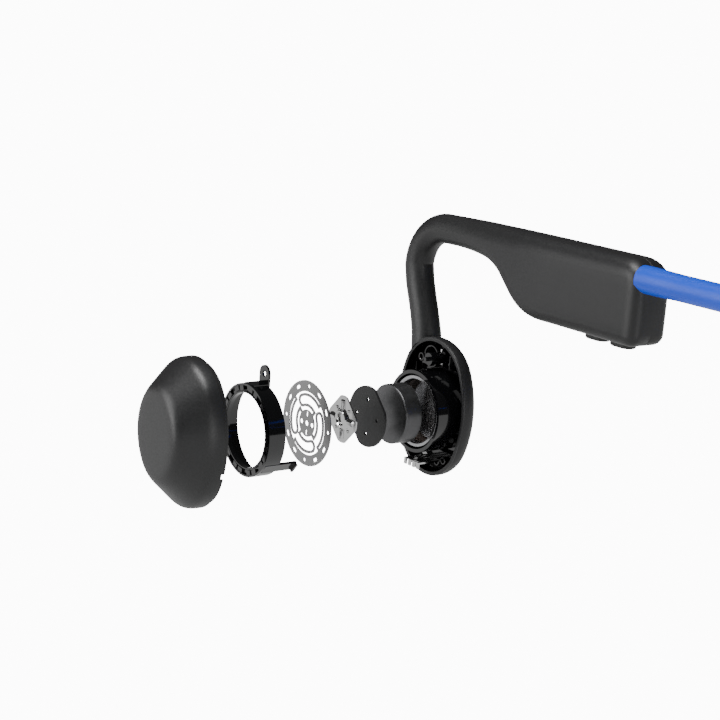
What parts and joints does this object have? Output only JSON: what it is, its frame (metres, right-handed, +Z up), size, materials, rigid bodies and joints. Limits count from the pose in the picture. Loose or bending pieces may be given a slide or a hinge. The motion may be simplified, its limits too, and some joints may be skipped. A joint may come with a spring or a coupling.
{
  "type": "bone conduction headphones",
  "caption": "Open-ear bone conduction headset with ear hooks and a blue neckband, its left transducer pod drawn apart along its axis.",
  "frame": {"origin": "middle of the wearer's head, on the line through both transducers", "axes": "+X to the wearer's left, +Y to the back of the head along the housings, +Z up"},
  "size_m": [0.197, 0.1511, 0.0557],
  "materials": {
    "soft_black": "soft-touch silicone, matt",
    "cover_grey": "soft-touch paint, satin",
    "gloss_black": "moulded, glossy",
    "band_blue": "silicone, satin",
    "spring_steel": "brushed, bright edges",
    "bright_steel": "bright nickel plate",
    "yoke_steel": "turned, satin",
    "magnet_grey": "nickel coated, satin",
    "plate_dark": "black oxide, satin",
    "copper": "copper wire in dark enamel",
    "board_green": "solder mask, satin",
    "cell_grey": "foil-wrapped cell",
    "switch_black": "moulded",
    "light_guide": "frosted light guide",
    "titanium": "drawn titanium wire"
  },
  "bodies": {
    "headset": {"left_pod_housing": "gloss_black", "left_skin_pad": "soft_black", "left_yoke": "yoke_steel", "left_voice_coil": "copper", "left_contact_pins": "bright_steel", "left_ear_hook": "soft_black", "left_case_outer": "soft_black", "left_case_inner": "soft_black", "right_pod_housing": "gloss_black", "right_skin_pad": "soft_black", "right_yoke": "yoke_steel", "right_voice_coil": "copper", "right_contact_pins": "bright_steel", "right_leaf_spring": "spring_steel", "right_retaining_ring": "gloss_black", "right_cover": "cover_grey", "right_ear_hook": "soft_black", "right_case_outer": "soft_black", "right_case_inner": "soft_black", "button_board": "board_green", "button_switch": "switch_black", "volume_switches": "switch_black", "main_board": "board_green", "charging_socket": "bright_steel", "charging_board": "board_green", "battery": "cell_grey", "status_light": "light_guide", "neckband": "band_blue", "neckband_core": "titanium"},
    "left_cover": {"left_cover": "cover_grey"},
    "left_retaining_ring": {"left_retaining_ring": "gloss_black"},
    "left_leaf_spring": {"left_leaf_spring": "spring_steel"},
    "left_hub_clip": {"left_hub_clip": "bright_steel"},
    "left_pole_plate": {"left_pole_plate": "plate_dark"},
    "left_magnet": {"left_magnet": "magnet_grey"},
    "right_moving_magnet": {"right_magnet": "magnet_grey", "right_pole_plate": "plate_dark", "right_hub_clip": "bright_steel"},
    "volume_up_button": {"volume_up_button": "soft_black"},
    "volume_down_button": {"volume_down_button": "soft_black"},
    "multifunction_button": {"multifunction_button": "soft_black"},
    "charging_port_cover": {"charging_port_cover": "soft_black"}
  },
  "joints": [
    {"name": "left_cover_slide", "type": "slide", "parent": "headset", "child": "left_cover", "axis": [-1, 0, 0], "range_m": [0, 0.05605]},
    {"name": "left_retaining_ring_slide", "type": "slide", "parent": "headset", "child": "left_retaining_ring", "axis": [-1, 0, 0], "range_m": [0, 0.03957]},
    {"name": "left_leaf_spring_slide", "type": "slide", "parent": "headset", "child": "left_leaf_spring", "axis": [-1, 0, 0], "range_m": [0, 0.02634]},
    {"name": "left_hub_clip_slide", "type": "slide", "parent": "headset", "child": "left_hub_clip", "axis": [-1, 0, 0], "range_m": [0, 0.01889]},
    {"name": "left_pole_plate_slide", "type": "slide", "parent": "headset", "child": "left_pole_plate", "axis": [-1, 0, 0], "range_m": [0, 0.0133]},
    {"name": "left_magnet_slide", "type": "slide", "parent": "headset", "child": "left_magnet", "axis": [-1, 0, 0], "range_m": [0, 0.00825]},
    {"name": "volume_up_press", "type": "slide", "parent": "headset", "child": "volume_up_button", "axis": [0, 0, 1], "range_m": [0, 0.0004], "stiffness_N_per_m": 800},
    {"name": "volume_down_press", "type": "slide", "parent": "headset", "child": "volume_down_button", "axis": [0, 0, 1], "range_m": [0, 0.0004], "stiffness_N_per_m": 800},
    {"name": "multifunction_press", "type": "slide", "parent": "headset", "child": "multifunction_button", "axis": [1, 0, 0], "range_m": [0, 0.0004], "stiffness_N_per_m": 800},
    {"name": "right_transducer_stroke", "type": "slide", "parent": "headset", "child": "right_moving_magnet", "axis": [1, 0, 0], "range_m": [-0.00015, 0.00015], "stiffness_N_per_m": 4000},
    {"name": "charging_port_cover_hinge", "type": "hinge", "parent": "headset", "child": "charging_port_cover", "pos_m": [-0.0588, 0.0425, 0.02495], "axis": [-1, 0, 0], "range_deg": [0, 100], "stiffness_Nm_per_rad": 0.0005}
  ],
  "couplings": [
    {"joint": "left_retaining_ring_slide", "follows": "left_cover_slide", "ratio": 0.70588},
    {"joint": "left_leaf_spring_slide", "follows": "left_cover_slide", "ratio": 0.4697},
    {"joint": "left_hub_clip_slide", "follows": "left_cover_slide", "ratio": 0.3369},
    {"joint": "left_pole_plate_slide", "follows": "left_cover_slide", "ratio": 0.23708},
    {"joint": "left_magnet_slide", "follows": "left_cover_slide", "ratio": 0.14706}
  ]
}
